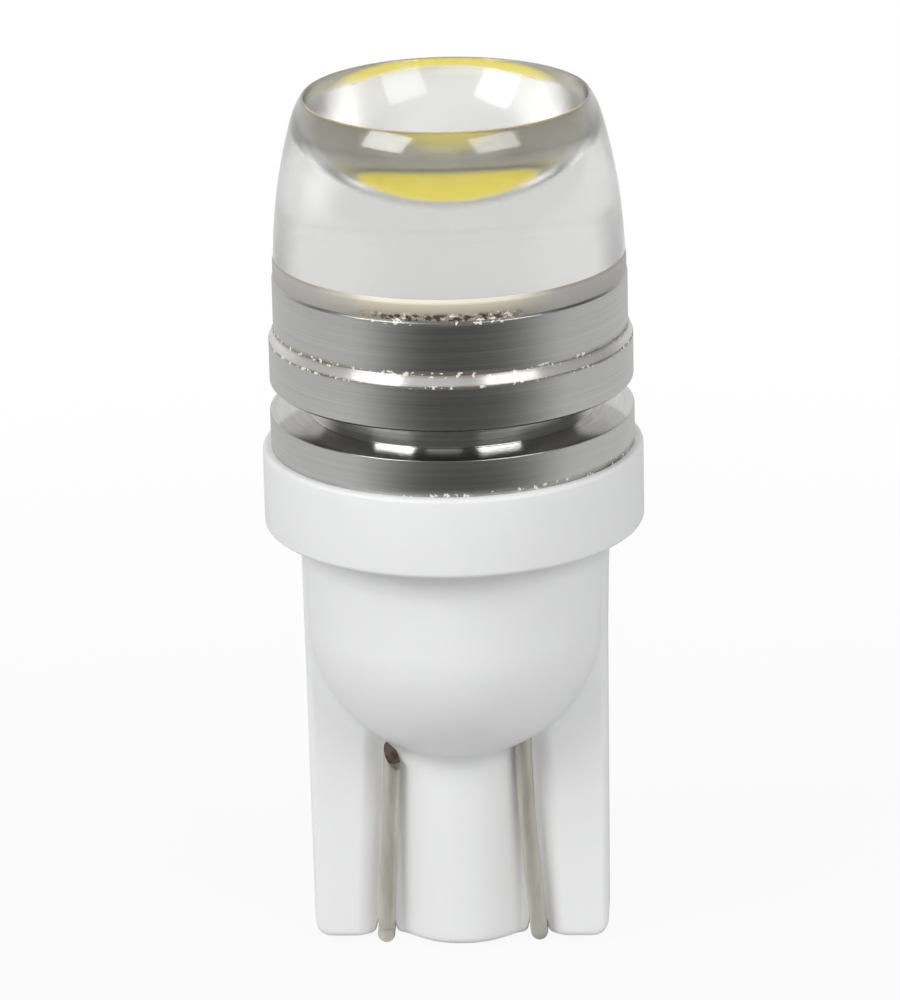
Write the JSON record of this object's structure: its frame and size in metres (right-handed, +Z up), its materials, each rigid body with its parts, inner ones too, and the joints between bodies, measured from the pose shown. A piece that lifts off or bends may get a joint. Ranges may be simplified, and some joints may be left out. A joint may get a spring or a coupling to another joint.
{
  "type": "wedge base led bulb",
  "caption": "Small wedge base LED bulb: a clear lens with a dished top on a turned aluminium body, in a white plastic wedge base with bent lead wires.",
  "frame": {"origin": "middle of the blade's end face, where the wedge base enters its holder first", "axes": "+Z up the bulb towards the lens, +X along the blade's width, +Y through its thickness"},
  "size_m": [0.0112, 0.0112, 0.0263],
  "materials": {
    "clear_acrylic": "clear, polished",
    "lens_glue": "clear amber glue",
    "turned_aluminium": "satin, fine turning lines",
    "thermal_paste": "matt",
    "white_board": "white solder mask on aluminium",
    "white_silicone": "satin",
    "yellow_phosphor": "satin gel",
    "led_die": "polished",
    "solder": "satin",
    "red_insulation": "satin",
    "black_insulation": "satin",
    "green_board": "satin",
    "black_plastic": "matt",
    "tinned_metal": "satin",
    "base_glue": "satin",
    "white_plastic": "satin",
    "lead_metal": "dull nickel grey"
  },
  "bodies": {
    "root": {"lens": "clear_acrylic", "lens_glue": "lens_glue", "heat_sink": "turned_aluminium", "thermal_paste": "thermal_paste", "emitter_board": "white_board", "emitter_dam": "white_silicone", "emitter_phosphor": "yellow_phosphor", "led_dies": "led_die", "emitter_solder_red": "solder", "emitter_solder_black": "solder", "red_wire": "red_insulation", "black_wire": "black_insulation", "red_wire_solder": "solder", "black_wire_solder": "solder", "driver_board": "green_board", "rectifier": "black_plastic", "rectifier_legs": "tinned_metal", "resistor_a": "black_plastic", "resistor_b": "black_plastic", "resistor_ends": "tinned_metal", "lead_solder_left": "solder", "lead_solder_right": "solder", "base_glue": "base_glue", "base_shell": "white_plastic", "lead_wire_left": "lead_metal", "lead_wire_right": "lead_metal"}
  },
  "joints": []
}
